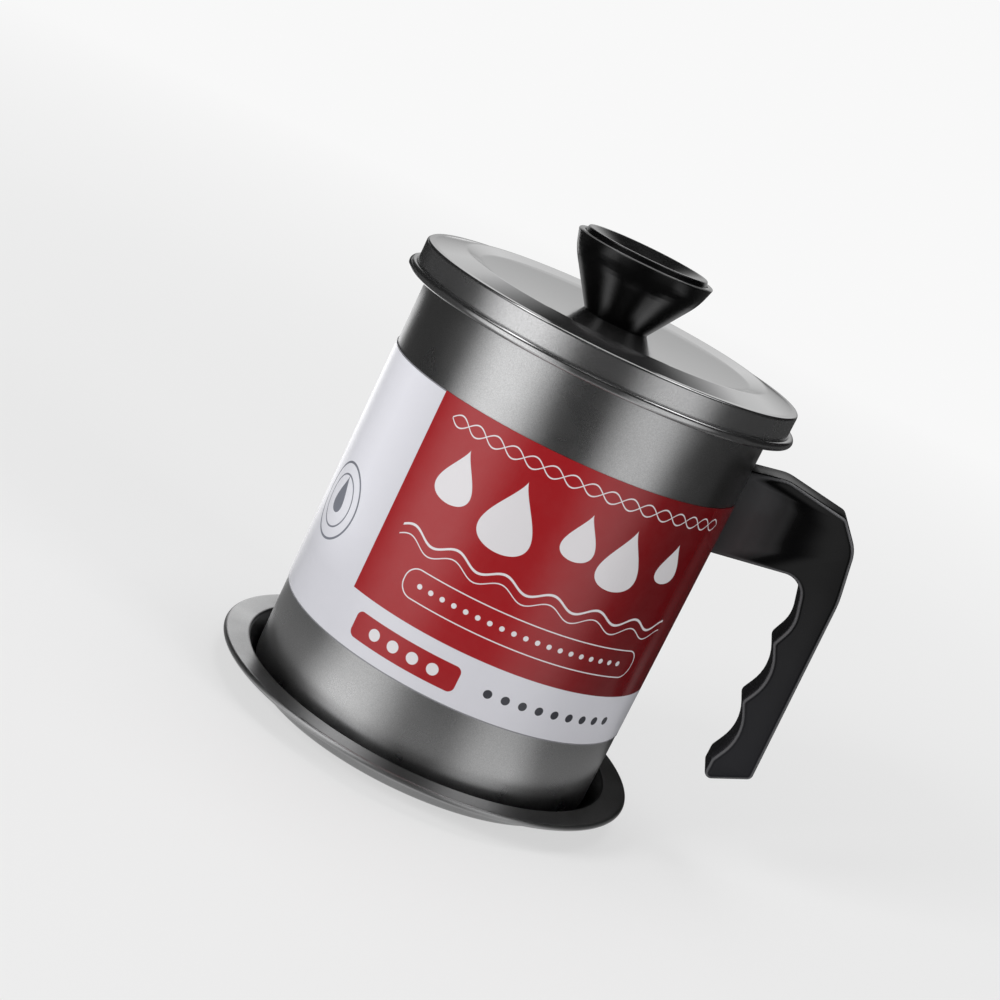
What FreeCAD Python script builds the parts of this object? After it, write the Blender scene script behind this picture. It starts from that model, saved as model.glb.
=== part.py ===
"""Grease keeper: a drawn steel pot with a side handle, a lift-out strainer, a pressed lid with a
knob, and a loose drip tray. Millimetres, +Z up. The origin is on the pot's axis, in the plane that
the tray stands on. The handle points along +X."""

import FreeCAD, Part
import math
import os

V = FreeCAD.Vector
AXIS = V(0, 0, 1)

# ---- driving dimensions ----
PRESS_GAP = 0.05          # gap left between parts that rest on each other
SLIDE_GAP = 0.5           # gap round parts that lift out

# pot
POT_SHEET = 0.6
POT_R = 60.0
POT_H = 149.2
POT_HEEL_ROUND = 5.0
POT_BEAD_R = 1.5
POT_FOOT_W = 8.0          # foot ring
POT_FOOT_STEP = 1.4

# tray
TRAY_SHEET = 0.6
TRAY_H = 10.0
TRAY_FLOOR_GAP = 1.0      # floor beyond the pot
TRAY_WELL_GAP = 4.6       # mouth of the well beyond the pot
TRAY_FLANGE_W = 8.4
TRAY_FLOOR_ROUND = 2.5
TRAY_EDGE_ROUND = 1.4
TRAY_BEAD_R = 1.1         # rolled edge

# printed band round the pot
LABEL_SHEET = 0.3
LABEL_LIFT = 31.25        # above the pot's base
LABEL_H = 85.2
LABEL_GAP_W = 20.0

# strainer
COLLAR_SHEET = 0.5
COLLAR_DEPTH = 26.0
COLLAR_LIP_H = 2.4
COLLAR_SHELF_W = 5.0
MESH_SHEET = 0.4
MESH_DEPTH = 26.0
MESH_EDGE_GAP = 1.4
MESH_TAPER_W = 14.0
MESH_FLOOR_ROUND = 11.0
CLAMP_SHEET = 0.6
CLAMP_W = 4.6

# lid
LID_SHEET = 0.6
LID_GAP = 0.6             # skirt beyond the strainer's lip
LID_SKIRT_H = 9.0         # down to the middle of the bead
LID_BEAD_R = 1.5
LID_SEAT_W = 2.2
LID_SHOULDER_R = 1.0
LID_SLOPE_W = 10.0
LID_STEP_W = 6.0
LID_RIDGE_H = 2.2
LID_RIDGE_ROUND = 2.5
LID_DISC_H = 0.8          # middle of the lid above its seat

# knob
KNOB_FOOT_R = 11.0
KNOB_R = 23.5
KNOB_H = 22.4
KNOB_CONE_H = 16.0
KNOB_CONE_STEP = 1.9      # top of the cone inside the knob's rim
KNOB_CONE_ROUND = 3.5
KNOB_RIM_W = 2.1
KNOB_RIM_ROUND = 0.6
KNOB_RECESS = 3.0
CAP_GAP = 0.25
CAP_H = 4.9
CAP_ROUND = 0.6
CAP_LIP_W = 1.6
CAP_DISH_DEPTH = 3.2
CAP_DISH_SLOPE_W = 7.5
CAP_DISH_ROUND = 6.0
INSERT_R = 4.0
INSERT_H = 13.0
SCREW_R = 2.0
SCREW_GAP = 0.05
SCREW_HOLE_GAP = 0.4
KNOB_SCREW_REACH = 10.0
WASHER_R = 7.0
WASHER_T = 0.8
HEAD_R = 4.0
HEAD_H = 2.4
HEAD_SLOT_W = 1.0
HEAD_SLOT_L = 4.6
HEAD_SLOT_D = 1.2

# handle: corners are (out from the pot, down from the handle's top, corner radius)
HANDLE_T = 17.0
HANDLE_ROUND = 1.8
HANDLE_DROP = 18.25       # top of the handle below the pot's rim
HANDLE_ROOT_TOP = 2.4
HANDLE_ROOT_LOW = 32.0
HANDLE_PEAK = (11.5, 0.0, 12.0)
HANDLE_BROW = (33.2, 3.0, 3.0)
HANDLE_SHOULDER = (40.4, 11.2, 12.0)
HANDLE_BACK = (43.6, 28.6, 30.0)
HANDLE_TIP_OUTER = (45.4, 94.0, 2.2)
HANDLE_TIP_INNER = (30.6, 101.2, 2.2)
HANDLE_INNER_CORNER = (29.8, 26.6, 6.5)
GRIP_NECK = (33.8, 41.6, 12.0)
GRIP_CUSP_OUT = 30.6
GRIP_CUSP_ROUND = 2.4
GRIP_LOW_CUSP = 93.2
GRIP_PITCH = 21.8
GRIP_GROOVES = 2
GROOVE_DEPTH = 5.2
GROOVE_ROUND = 16.0

# handle fixing
PLATE_T = 1.2
PLATE_W = 13.0
PLATE_H = 18.0
PLATE_DROP = 6.6          # below the handle's top
TONGUE_T = 1.6
TONGUE_W = 11.0
TONGUE_L = 20.0
TONGUE_DROP = 19.6        # below the handle's top
POCKET_GAP = 0.2
NUT_R = 4.0
NUT_T = 3.2
HANDLE_SCREW_OUT = 14.0
HANDLE_SINK = 4.0
HANDLE_WASHER_R = 4.2
HANDLE_WASHER_T = 0.6
SCREW_END = 1.5           # screw beyond its nut


# ---- helpers ----
def revolved(face):
    return face.revolve(V(0, 0, 0), AXIS, 360)


def corner_arcs(points):
    """Lines with tangent arcs at the corners. points are (r, z, corner radius)."""
    edges = []
    here = V(points[0][0], 0, points[0][1])
    for i in range(1, len(points) - 1):
        corner = V(points[i][0], 0, points[i][1])
        before = (V(points[i - 1][0], 0, points[i - 1][1]) - corner).normalize()
        after = (V(points[i + 1][0], 0, points[i + 1][1]) - corner).normalize()
        radius = points[i][2]
        half = before.getAngle(after) / 2
        reach = radius / math.tan(half)
        start = corner + before * reach
        end = corner + after * reach
        middle = corner + (before + after).normalize() * (radius / math.sin(half) - radius)
        edges.append(Part.LineSegment(here, start).toShape())
        if radius > 0:
            edges.append(Part.Arc(start, middle, end).toShape())
        here = end
    last = V(points[-1][0], 0, points[-1][1])
    edges.append(Part.LineSegment(here, last).toShape())
    return edges


def offset_points(points, side, sheet):
    """The same corners moved sheet to one side of the direction of travel."""
    moved = []
    flat = [V(p[0], 0, p[1]) for p in points]
    for i, point in enumerate(flat):
        into = (flat[i] - flat[i - 1]).normalize() if i else (flat[1] - flat[0]).normalize()
        out = (flat[i + 1] - flat[i]).normalize() if i + 1 < len(flat) else into
        n_in = V(-into.z, 0, into.x) * side
        n_out = V(-out.z, 0, out.x) * side
        push = (n_in + n_out).normalize()
        place = point + push * (sheet / push.dot(n_in))
        turns = (into.x * out.z - into.z * out.x) * side
        radius = points[i][2]
        if radius > 0:
            radius += -sheet if turns > 0 else sheet
        moved.append((place.x, place.z, max(radius, 0)))
    return moved


def sheet_section(points, side, sheet, bead=0):
    """Closed section of bent sheet metal, with the sheet on one side of the path (+1 left). bead is
    the radius of a closed roll on the path's end, away from that side."""
    end = V(points[-1][0], 0, points[-1][1])
    heading = (end - V(points[-2][0], 0, points[-2][1])).normalize()
    outward = V(heading.z, 0, -heading.x) * side
    back = corner_arcs(offset_points(points, side, sheet))
    back_end = end - outward * sheet
    if bead:
        centre = back_end + outward * bead
        end = end - heading * math.sqrt(2 * bead * sheet - sheet * sheet)
        closing = Part.Arc(back_end, centre + outward * bead, end).toShape()
        points = points[:-1] + [(end.x, end.z, 0)]
    else:
        closing = Part.LineSegment(back_end, end).toShape()
    start = Part.LineSegment(V(points[0][0], 0, points[0][1]), back[0].Vertexes[0].Point).toShape()
    edges = corner_arcs(points) + back + [start, closing]
    return Part.Face(Part.Wire(Part.__sortEdges__(edges)))


def section(points):
    """Closed section through (r, z, corner radius) points. The first and last are sharp."""
    edges = corner_arcs(points)
    first = V(points[0][0], 0, points[0][1])
    last = V(points[-1][0], 0, points[-1][1])
    edges.append(Part.LineSegment(last, first).toShape())
    return Part.Face(Part.Wire(edges))


def ring(r_in, r_out, low, height):
    outer = Part.makeCylinder(r_out, height, V(0, 0, low))
    return outer.cut(Part.makeCylinder(r_in, height, V(0, 0, low)))


def box(x, y, z):
    """A box from three (low, high) pairs."""
    return Part.makeBox(x[1] - x[0], y[1] - y[0], z[1] - z[0], V(x[0], y[0], z[0]))


def cross_screw(seat_z, tip_z):
    """A screw from below: its round head, with a cross slot, hangs under seat_z."""
    low = seat_z - HEAD_H
    head = Part.makeCylinder(HEAD_R, HEAD_H, V(0, 0, low))
    rim = [e for e in head.Edges if e.BoundBox.ZMax < low + 1e-6]
    head = head.makeFillet(HEAD_H * 0.4, rim)
    half_w = (-HEAD_SLOT_W / 2, HEAD_SLOT_W / 2)
    half_l = (-HEAD_SLOT_L / 2, HEAD_SLOT_L / 2)
    slot = (low, low + HEAD_SLOT_D)
    head = head.cut(box(half_w, half_l, slot).fuse(box(half_l, half_w, slot)))
    shank = Part.makeCylinder(SCREW_R, tip_z - seat_z, V(0, 0, seat_z))
    return head.fuse(shank).removeSplitter()


# ---- pot ----
POT_BASE_Z = TRAY_SHEET + PRESS_GAP
POT_RIM_Z = POT_BASE_Z + POT_H


def pot_body():
    foot = POT_BASE_Z + POT_FOOT_STEP
    foot_r = POT_R - POT_FOOT_W
    path = [
        (0, foot, 0),
        (foot_r - POT_FOOT_STEP, foot, 0),
        (foot_r, POT_BASE_Z, 0),
        (POT_R, POT_BASE_Z, POT_HEEL_ROUND),
        (POT_R, POT_RIM_Z - POT_BEAD_R, 0),
    ]
    return revolved(sheet_section(path, 1, POT_SHEET, POT_BEAD_R))


def label_band():
    inner = POT_R + PRESS_GAP
    low = POT_BASE_Z + LABEL_LIFT
    band = ring(inner, inner + LABEL_SHEET, low, LABEL_H)
    gap = box((0, POT_R * 2), (-LABEL_GAP_W / 2, LABEL_GAP_W / 2), (low, low + LABEL_H))
    return band.cut(gap)


# ---- tray ----
def drip_tray():
    well_r = POT_R + TRAY_WELL_GAP
    rim = well_r + TRAY_FLANGE_W - TRAY_BEAD_R
    under = TRAY_H - TRAY_SHEET
    path = [
        (0, 0, 0),
        (POT_R + TRAY_FLOOR_GAP - TRAY_FLOOR_ROUND, 0, TRAY_FLOOR_ROUND),
        (well_r, under, TRAY_EDGE_ROUND),
        (rim, under, 0),
    ]
    return revolved(sheet_section(path, 1, TRAY_SHEET, TRAY_BEAD_R))


# ---- strainer ----
FLANGE_LOW_Z = POT_RIM_Z + PRESS_GAP
FLANGE_TOP_Z = FLANGE_LOW_Z + COLLAR_SHEET
COLLAR_OUT_R = POT_R - POT_SHEET - SLIDE_GAP
COLLAR_IN_R = COLLAR_OUT_R - COLLAR_SHEET
COLLAR_LIP_R = POT_R - POT_SHEET + POT_BEAD_R * 2 + SLIDE_GAP
SHELF_LOW_Z = FLANGE_LOW_Z - COLLAR_DEPTH
SHELF_TOP_Z = SHELF_LOW_Z + COLLAR_SHEET
SHELF_IN_R = COLLAR_IN_R - COLLAR_SHELF_W


def strainer_collar():
    path = [
        (SHELF_IN_R, SHELF_LOW_Z, 0),
        (COLLAR_OUT_R, SHELF_LOW_Z, 0),
        (COLLAR_OUT_R, FLANGE_LOW_Z, 0),
        (COLLAR_LIP_R, FLANGE_LOW_Z, 0),
        (COLLAR_LIP_R, FLANGE_LOW_Z - COLLAR_LIP_H, 0),
    ]
    return revolved(sheet_section(path, 1, COLLAR_SHEET))


MESH_LOW_Z = SHELF_TOP_Z + PRESS_GAP
MESH_TOP_Z = MESH_LOW_Z + MESH_SHEET


def mesh_basket():
    """The woven basket's envelope: a flange under the clamp ring and a rounded bowl."""
    bowl_r = SHELF_IN_R - MESH_EDGE_GAP
    path = [
        (0, MESH_LOW_Z - MESH_DEPTH, 0),
        (bowl_r - MESH_TAPER_W, MESH_LOW_Z - MESH_DEPTH, MESH_FLOOR_ROUND),
        (bowl_r, MESH_LOW_Z, 0),
        (COLLAR_IN_R - SLIDE_GAP, MESH_LOW_Z, 0),
    ]
    return revolved(sheet_section(path, 1, MESH_SHEET))


def mesh_clamp_ring():
    r_out = COLLAR_IN_R - PRESS_GAP
    return ring(r_out - CLAMP_W, r_out, MESH_TOP_Z + PRESS_GAP, CLAMP_SHEET)


# ---- lid ----
LID_R = COLLAR_LIP_R + COLLAR_SHEET + LID_GAP + LID_SHEET
SEAT_TOP_Z = FLANGE_TOP_Z + PRESS_GAP + LID_SHEET
DISC_TOP_Z = SEAT_TOP_Z + LID_DISC_H
SCREW_HOLE_R = SCREW_R + SCREW_HOLE_GAP


def lid_shell():
    seat_r = LID_R - LID_SEAT_W
    ridge_r = seat_r - LID_SLOPE_W
    path = [
        (SCREW_HOLE_R, DISC_TOP_Z, 0),
        (ridge_r - LID_STEP_W, DISC_TOP_Z, LID_RIDGE_ROUND),
        (ridge_r, SEAT_TOP_Z + LID_RIDGE_H, LID_RIDGE_ROUND),
        (seat_r, SEAT_TOP_Z, LID_RIDGE_ROUND),
        (LID_R, SEAT_TOP_Z, LID_SHOULDER_R),
        (LID_R, SEAT_TOP_Z - LID_SKIRT_H, 0),
    ]
    return revolved(sheet_section(path, -1, LID_SHEET, LID_BEAD_R))


# ---- knob ----
KNOB_LOW_Z = DISC_TOP_Z + PRESS_GAP
KNOB_TOP_Z = KNOB_LOW_Z + KNOB_H
CAP_R = KNOB_R - KNOB_RIM_W - CAP_GAP
RECESS_Z = KNOB_TOP_Z - KNOB_RECESS


def knob_body():
    points = [
        (0, KNOB_LOW_Z, 0),
        (KNOB_FOOT_R, KNOB_LOW_Z, 0),
        (KNOB_R - KNOB_CONE_STEP, KNOB_LOW_Z + KNOB_CONE_H, KNOB_CONE_ROUND),
        (KNOB_R, KNOB_TOP_Z, KNOB_RIM_ROUND),
        (KNOB_R - KNOB_RIM_W, KNOB_TOP_Z, 0),
        (KNOB_R - KNOB_RIM_W, RECESS_Z, 0),
        (0, RECESS_Z, 0),
    ]
    socket = Part.makeCylinder(INSERT_R + PRESS_GAP, INSERT_H + PRESS_GAP, V(0, 0, KNOB_LOW_Z))
    return revolved(section(points)).cut(socket)


def knob_cap():
    low = RECESS_Z + PRESS_GAP
    top = low + CAP_H
    lip_r = CAP_R - CAP_LIP_W
    points = [
        (0, low, 0),
        (CAP_R, low, 0),
        (CAP_R, top, CAP_ROUND),
        (lip_r, top, CAP_ROUND),
        (lip_r - CAP_DISH_SLOPE_W, top - CAP_DISH_DEPTH, CAP_DISH_ROUND),
        (0, top - CAP_DISH_DEPTH, 0),
    ]
    return revolved(section(points))


def knob_insert():
    return ring(SCREW_R + SCREW_GAP, INSERT_R, KNOB_LOW_Z, INSERT_H)


WASHER_LOW_Z = DISC_TOP_Z - LID_SHEET - PRESS_GAP - WASHER_T


def knob_washer():
    return ring(SCREW_HOLE_R, WASHER_R, WASHER_LOW_Z, WASHER_T)


def knob_screw():
    return cross_screw(WASHER_LOW_Z - PRESS_GAP, KNOB_LOW_Z + KNOB_SCREW_REACH)


# ---- handle ----
HANDLE_TOP_Z = POT_RIM_Z - HANDLE_DROP
TONGUE_Z = HANDLE_TOP_Z - TONGUE_DROP
NUT_LOW_Z = TONGUE_Z + TONGUE_T + PRESS_GAP
SOCKET_TOP_Z = NUT_LOW_Z + NUT_T + POCKET_GAP
ARM_RISE = (HANDLE_ROOT_LOW - HANDLE_INNER_CORNER[1]) / HANDLE_INNER_CORNER[0]
ARM_LOW_Z = HANDLE_TOP_Z - HANDLE_ROOT_LOW + ARM_RISE * (HANDLE_SCREW_OUT - HEAD_R)
SINK_Z = ARM_LOW_Z + HANDLE_SINK
HANDLE_SCREW_AT = V(POT_R + HANDLE_SCREW_OUT, 0, 0)


def handle_point(corner):
    return (POT_R + corner[0], HANDLE_TOP_Z - corner[1], corner[2])


def grip_outline():
    """The handle's side outline in the XZ plane, from the pot's wall round to it again."""
    corners = [
        (-POT_SHEET, HANDLE_ROOT_TOP, 0),
        HANDLE_PEAK,
        HANDLE_BROW,
        HANDLE_SHOULDER,
        HANDLE_BACK,
        HANDLE_TIP_OUTER,
        HANDLE_TIP_INNER,
    ]
    for k in range(GRIP_GROOVES + 1):
        cusp = GRIP_LOW_CUSP - GRIP_PITCH * k
        corners.append((GRIP_CUSP_OUT, cusp, GRIP_CUSP_ROUND))
        if k < GRIP_GROOVES:
            corners.append((GRIP_CUSP_OUT + GROOVE_DEPTH, cusp - GRIP_PITCH / 2, GROOVE_ROUND))
    corners += [GRIP_NECK, HANDLE_INNER_CORNER, (-POT_SHEET, HANDLE_ROOT_LOW, 0)]
    return section([handle_point(corner) for corner in corners])


def handle_grip():
    half = HANDLE_T / 2
    blank = grip_outline().extrude(V(0, HANDLE_T, 0)).translated(V(0, -half, 0))
    rims = [e for e in blank.Edges if e.BoundBox.YLength < 1e-6 and e.BoundBox.XMax > POT_R]
    blank = blank.makeFillet(HANDLE_ROUND, rims)
    seat_r = POT_R + PRESS_GAP
    pot = Part.makeCylinder(seat_r, POT_RIM_Z)
    reach = (0, POT_R + TONGUE_L + POCKET_GAP)
    half_plate = PLATE_W / 2 + POCKET_GAP
    half_tongue = TONGUE_W / 2 + POCKET_GAP
    plate_top = HANDLE_TOP_Z - PLATE_DROP + POCKET_GAP
    plate_low = HANDLE_TOP_Z - PLATE_DROP - PLATE_H - POCKET_GAP
    pocket = Part.makeCylinder(seat_r + PLATE_T + POCKET_GAP, POT_RIM_Z)
    pocket = pocket.common(box(reach, (-half_plate, half_plate), (plate_low, plate_top)))
    socket = box(reach, (-half_tongue, half_tongue), (TONGUE_Z - POCKET_GAP, SOCKET_TOP_Z))
    bore = Part.makeCylinder(SCREW_HOLE_R, SOCKET_TOP_Z + SCREW_END + POCKET_GAP, HANDLE_SCREW_AT)
    sink = Part.makeCylinder(HANDLE_WASHER_R + POCKET_GAP, SINK_Z, HANDLE_SCREW_AT)
    return blank.cut(pot).cut(pocket.fuse(socket)).cut(bore.fuse(sink))


def handle_bracket():
    """Curved plate welded to the pot, with a tongue that the grip slides over."""
    r_in = POT_R + PRESS_GAP
    plate = ring(r_in, r_in + PLATE_T, HANDLE_TOP_Z - PLATE_DROP - PLATE_H, PLATE_H)
    plate = plate.common(box((0, POT_R * 2), (-PLATE_W / 2, PLATE_W / 2), (0, POT_RIM_Z)))
    along = (POT_R - POT_SHEET, POT_R + TONGUE_L)
    tongue = box(along, (-TONGUE_W / 2, TONGUE_W / 2), (TONGUE_Z, TONGUE_Z + TONGUE_T))
    tongue = tongue.cut(Part.makeCylinder(r_in, POT_RIM_Z))
    hole = Part.makeCylinder(SCREW_HOLE_R, POT_RIM_Z, HANDLE_SCREW_AT)
    return plate.fuse(tongue).cut(hole).removeSplitter()


def handle_nut():
    corners = [FreeCAD.Rotation(AXIS, 60 * k) * V(NUT_R, 0, 0) for k in range(7)]
    nut = Part.Face(Part.makePolygon(corners)).extrude(V(0, 0, NUT_T))
    nut = nut.cut(Part.makeCylinder(SCREW_R + SCREW_GAP, NUT_T))
    return nut.translated(HANDLE_SCREW_AT + V(0, 0, NUT_LOW_Z))


WASHER_SEAT_Z = SINK_Z - PRESS_GAP - HANDLE_WASHER_T


def handle_washer():
    washer = ring(SCREW_HOLE_R, HANDLE_WASHER_R, WASHER_SEAT_Z, HANDLE_WASHER_T)
    return washer.translated(HANDLE_SCREW_AT)


def handle_screw():
    screw = cross_screw(WASHER_SEAT_Z - PRESS_GAP, NUT_LOW_Z + NUT_T + SCREW_END)
    return screw.translated(HANDLE_SCREW_AT)


def main():
    makers = [
        drip_tray,
        pot_body,
        label_band,
        handle_bracket,
        handle_grip,
        handle_nut,
        handle_washer,
        handle_screw,
        strainer_collar,
        mesh_basket,
        mesh_clamp_ring,
        lid_shell,
        knob_body,
        knob_cap,
        knob_insert,
        knob_washer,
        knob_screw,
    ]
    os.makedirs("parts", exist_ok=True)
    for make in makers:
        solids = make().Solids
        shape = solids[0] if len(solids) == 1 else Part.Compound(solids)
        shape.exportStep("parts/" + make.__name__ + ".step")
        print(make.__name__, len(solids), shape.isValid(), round(shape.Volume, 1))


main()
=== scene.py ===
import bpy
import bmesh
import math
from mathutils import Matrix, Quaternion, Vector


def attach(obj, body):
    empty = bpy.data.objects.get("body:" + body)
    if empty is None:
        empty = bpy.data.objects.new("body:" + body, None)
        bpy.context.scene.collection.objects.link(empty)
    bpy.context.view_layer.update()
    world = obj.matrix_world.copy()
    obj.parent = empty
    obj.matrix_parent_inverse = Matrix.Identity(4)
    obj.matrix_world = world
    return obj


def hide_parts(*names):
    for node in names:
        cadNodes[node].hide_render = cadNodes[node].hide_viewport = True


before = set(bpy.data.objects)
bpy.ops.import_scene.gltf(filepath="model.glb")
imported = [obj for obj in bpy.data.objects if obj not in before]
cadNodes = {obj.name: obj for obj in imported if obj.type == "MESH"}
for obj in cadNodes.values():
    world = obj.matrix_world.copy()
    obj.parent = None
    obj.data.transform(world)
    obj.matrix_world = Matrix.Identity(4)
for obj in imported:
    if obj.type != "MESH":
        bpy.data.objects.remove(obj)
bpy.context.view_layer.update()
mm = 0.001
print("frame loaded:", len(cadNodes), "nodes")


# camera, lamps and the studio round the pot

shot = {
    "place": (0, -650.957, 232.678),
    "aim": (-8.17, 0, 83.0),
    "roll": 25.92,
    "lens": 74.0,
}

lens = bpy.data.cameras.new("camera")
lens.lens = shot["lens"]
lens.sensor_width = 36
lens.clip_start = 0.01
lens.clip_end = 60
camera = bpy.data.objects.new("camera", lens)
bpy.context.scene.collection.objects.link(camera)
camera.location = Vector(shot["place"]) * mm
looking = ((Vector(shot["aim"]) - Vector(shot["place"])) * mm).to_track_quat("-Z", "Y")
camera.rotation_mode = "QUATERNION"
camera.rotation_quaternion = looking @ Quaternion((0, 0, 1), math.radians(shot["roll"]))
bpy.context.scene.camera = camera


def calc(tree, operation, *values):  # one Math node; numbers and sockets can be mixed
    node = tree.nodes.new("ShaderNodeMath")
    node.operation = operation
    for socket, value in zip(node.inputs, values):
        if isinstance(value, (int, float)):
            socket.default_value = value
        else:
            tree.links.new(value, socket)
    return node.outputs[0]


def addNode(tree, kind, **inputs):  # inputs are given by name, with _ for a space
    node = tree.nodes.new(kind)
    for name, value in inputs.items():
        socket = node.inputs[name.replace("_", " ")]
        if isinstance(value, bpy.types.NodeSocket):
            tree.links.new(value, socket)
        else:
            socket.default_value = value
    return node


def seenRays(tree):  # rays that see the pale surroundings: camera, glossy, transmission
    path = tree.nodes.new("ShaderNodeLightPath")
    seen = calc(tree, "MAXIMUM", path.outputs["Is Camera Ray"], path.outputs["Is Glossy Ray"])
    return calc(tree, "MAXIMUM", seen, path.outputs["Is Transmission Ray"])


def emptyTree(material):
    material.use_nodes = True
    material.node_tree.nodes.clear()
    return material.node_tree, material.node_tree.nodes.new("ShaderNodeOutputMaterial")


def stretch(tree, value, low, high, outLow=0.0, outHigh=1.0):
    node = addNode(tree, "ShaderNodeMapRange", Value=value)
    for name, number in (("From Min", low), ("From Max", high), ("To Min", outLow), ("To Max", outHigh)):
        node.inputs[name].default_value = number
    return node.outputs[0]


def hump(tree, value, rise, fall):  # 1 between the rise and the fall, each as (start, end), and 0 outside
    return calc(tree, "MULTIPLY", stretch(tree, value, *rise), stretch(tree, value, *fall, 1.0, 0.0))


def axisRadius(tree, place):
    flat = addNode(tree, "ShaderNodeVectorMath", Vector=place)
    flat.operation = "MULTIPLY"
    flat.inputs[1].default_value = (1, 1, 0)
    reach = tree.nodes.new("ShaderNodeVectorMath")
    reach.operation = "LENGTH"
    tree.links.new(flat.outputs[0], reach.inputs[0])
    return reach.outputs["Value"]


studio = {
    "far": 0.94,          # what the camera sees behind the object, far off
    "near": 0.80,         # and on the floor round it
    "fadeReach": (0.12, 1.6),
    "fill": 0.23,         # the world's light on the object
    "floorSize": 60.0,
    "floorShade": 0.40,   # how much of the floor's own shading shows
    "floorLit": 0.60,     # its level out of the shadow
    "shadeReach": (0.12, 0.75),
    "tentInner": 0.079,   # the tent's hem lies on the floor round the tray
    "tentRadius": 0.165,
    "tentLow": 0.0006,
    "tentHigh": 0.45,
    "tentLevel": 0.06,    # the tent between its lights
    "dark": 0.02,         # and where it is dark
    "frontHigh": 0.19,    # in front the strips end here
    "backHigh": 0.150,    # and behind here, where the back card takes over
    "backFoot": (0.12, 0.20),    # the back card fades in between these heights
    "backTop": (0.23, 0.285),    # and out between these
    "backLevel": 0.9,
    "backTurns": (0.645, 0.845),
    "backJoin": (0.143, 0.155),
    "windows": [(0.070, 0.055), (0.49, 0.055)],  # two bright windows high at the sides, the knob's glints
    "windowLow": (0.28, 0.37),
    "windowLevel": 3.6,
    "roofSide": (0.112, 0.13),
    "roofFront": (-0.155, -0.140, 2.0),
    "roofBack": (0.01, 0.03, 2.2),
    "footLevel": 0.42,    # the tent is more even near the floor
    "footHigh": 0.05,
    "blinds": [                        # dark patches, as (first turn, last turn, low, top)
        (0.845, 0.915, 0.117, 0.150),  # the skirt's left end reflects this one
        (0.690, 0.812, 0.108, 0.139),  # the knob's sides this
        (0.590, 0.740, 0.0, 0.100),    # and the finger grooves this
    ],
}

# tall soft lights in the tent, as (turn, half width, level): turn 0 is -X, 0.25 is -Y, 0.5 is +X
strips = [
    (0.15, 0.08, 1.7),
    (0.36, 0.07, 1.1),
    (0.85, 0.06, 1.5),
]


def makeWorld():
    world = bpy.data.worlds.new("studioWorld")
    bpy.context.scene.world = world
    world.use_nodes = True
    tree = world.node_tree
    tree.nodes.clear()
    pale = addNode(tree, "ShaderNodeBackground", Strength=studio["far"])
    fill = addNode(tree, "ShaderNodeBackground", Strength=studio["fill"])
    pale.inputs["Color"].default_value = (1, 1, 1, 1)
    fill.inputs["Color"].default_value = (1, 1, 1, 1)
    mix = addNode(tree, "ShaderNodeMixShader", Fac=seenRays(tree))
    tree.links.new(fill.outputs[0], mix.inputs[1])
    tree.links.new(pale.outputs[0], mix.inputs[2])
    out = tree.nodes.new("ShaderNodeOutputWorld")
    tree.links.new(mix.outputs[0], out.inputs["Surface"])


def makeFloor():
    paint = bpy.data.materials.new("studioFloor")
    tree, out = emptyTree(paint)
    place = tree.nodes.new("ShaderNodeTexCoord").outputs["Object"]
    level = stretch(tree, axisRadius(tree, place), *studio["fadeReach"], studio["near"], studio["far"])
    near = stretch(tree, axisRadius(tree, place), *studio["shadeReach"], 1.0, 0.0)
    shaded = addNode(tree, "ShaderNodeBsdfDiffuse", Color=(0.8, 0.8, 0.8, 1))
    own = calc(tree, "MULTIPLY", near, studio["floorShade"])
    rest = calc(tree, "SUBTRACT", 1.0, own)
    lit = calc(tree, "MULTIPLY", own, studio["floorLit"])
    level = calc(tree, "DIVIDE", calc(tree, "SUBTRACT", level, lit), rest)
    glow = addNode(tree, "ShaderNodeEmission", Strength=level)
    keep = calc(tree, "MULTIPLY", seenRays(tree), rest)
    mix = addNode(tree, "ShaderNodeMixShader", Fac=keep)
    tree.links.new(shaded.outputs[0], mix.inputs[1])
    tree.links.new(glow.outputs[0], mix.inputs[2])
    tree.links.new(mix.outputs[0], out.inputs["Surface"])
    half = studio["floorSize"] / 2
    mesh = bpy.data.meshes.new("studioFloor")
    corners = [(-half, -half, 0), (half, -half, 0), (half, half, 0), (-half, half, 0)]
    mesh.from_pydata(corners, [], [(0, 1, 2, 3)])
    mesh.materials.append(paint)
    floor = bpy.data.objects.new("studioFloor", mesh)
    floor.location.z = -0.0002
    bpy.context.scene.collection.objects.link(floor)


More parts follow.
